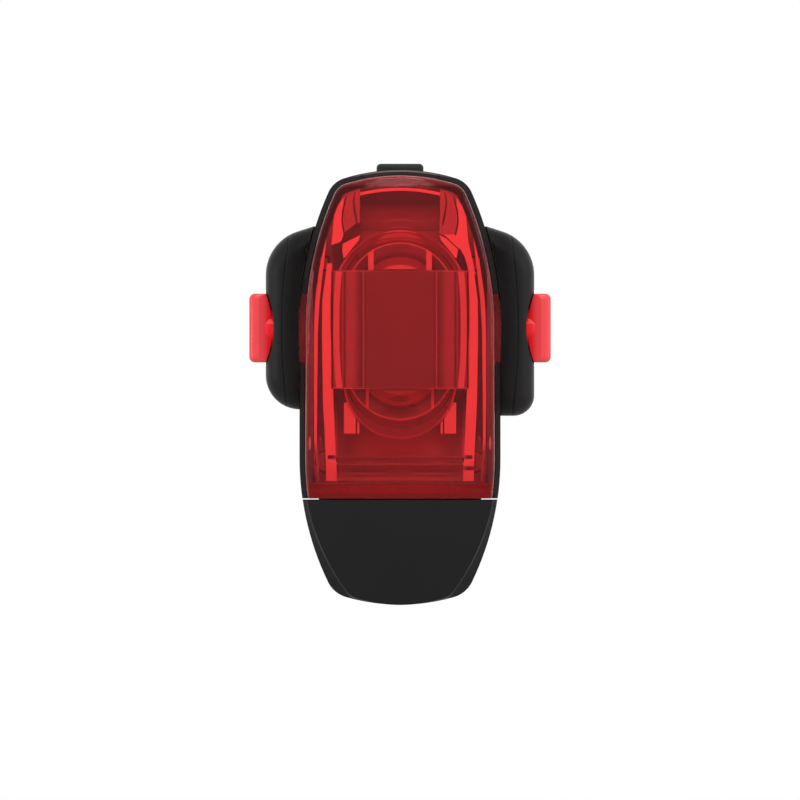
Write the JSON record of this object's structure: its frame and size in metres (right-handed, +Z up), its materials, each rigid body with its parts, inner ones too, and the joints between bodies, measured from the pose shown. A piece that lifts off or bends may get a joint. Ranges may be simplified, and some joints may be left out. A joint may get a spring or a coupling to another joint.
{
  "type": "bike tail light",
  "caption": "Rechargeable bicycle tail light with a red lens, a rubber seat post strap hooked on side ears, a top push button and a pull-off cap over its charging plug.",
  "frame": {"origin": "on the seat post's axis, at the height of the two ears that carry the strap", "axes": "+X to the right as the lens is seen from its front, +Y from the lens towards the seat post, +Z up along the seat post"},
  "size_m": [0.0422, 0.0592, 0.0618],
  "materials": {
    "housing_plastic": "satin black",
    "red_lens": "clear red, polished",
    "reflector_white": "white moulding",
    "reflector_plated": "vacuum plated",
    "optic_clear": "frosted clear",
    "board": "white solder mask",
    "led_package": "moulded emitter",
    "component_black": "moulded",
    "screw_steel": "zinc",
    "cell_foil": "foil",
    "foam": "foam",
    "lead_red": "insulation",
    "plug_steel": "nickel plated",
    "contact_gold": "gold plated",
    "cap_plastic": "satin black",
    "seal_rubber": "matte",
    "button_rubber": "satin",
    "strap_rubber": "satin black silicone"
  },
  "bodies": {
    "body": {"housing": "housing_plastic", "lens": "red_lens", "reflector_frame": "reflector_white", "oval_reflector": "reflector_plated", "centre_optic": "optic_clear", "led_board": "board", "main_leds": "led_package", "side_leds": "led_package", "board_components": "component_black", "tact_switch": "component_black", "board_screws": "screw_steel", "battery": "cell_foil", "battery_pad": "foam", "battery_leads": "lead_red", "usb_carrier": "housing_plastic", "usb_shell": "plug_steel", "usb_tongue": "reflector_white", "usb_contacts": "contact_gold", "cap_seal": "seal_rubber", "button_seal": "seal_rubber", "saddle_pad": "strap_rubber"},
    "cap_body": {"cap": "cap_plastic"},
    "button_body": {"button": "button_rubber", "switch_plunger": "housing_plastic"},
    "strap_body": {"strap": "strap_rubber"}
  },
  "joints": [
    {"name": "button_press", "type": "slide", "parent": "body", "child": "button_body", "axis": [0, 0, -1], "range_m": [0, 0.0005], "stiffness_N_per_m": 4000},
    {"name": "cap_pull", "type": "slide", "parent": "body", "child": "cap_body", "axis": [0, 0, -1], "range_m": [0, 0.016]},
    {"name": "strap_swing", "type": "hinge", "parent": "body", "child": "strap_body", "pos_m": [0, -0.0273, 0], "axis": [1, 0, 0], "range_deg": [-6, 6]}
  ]
}
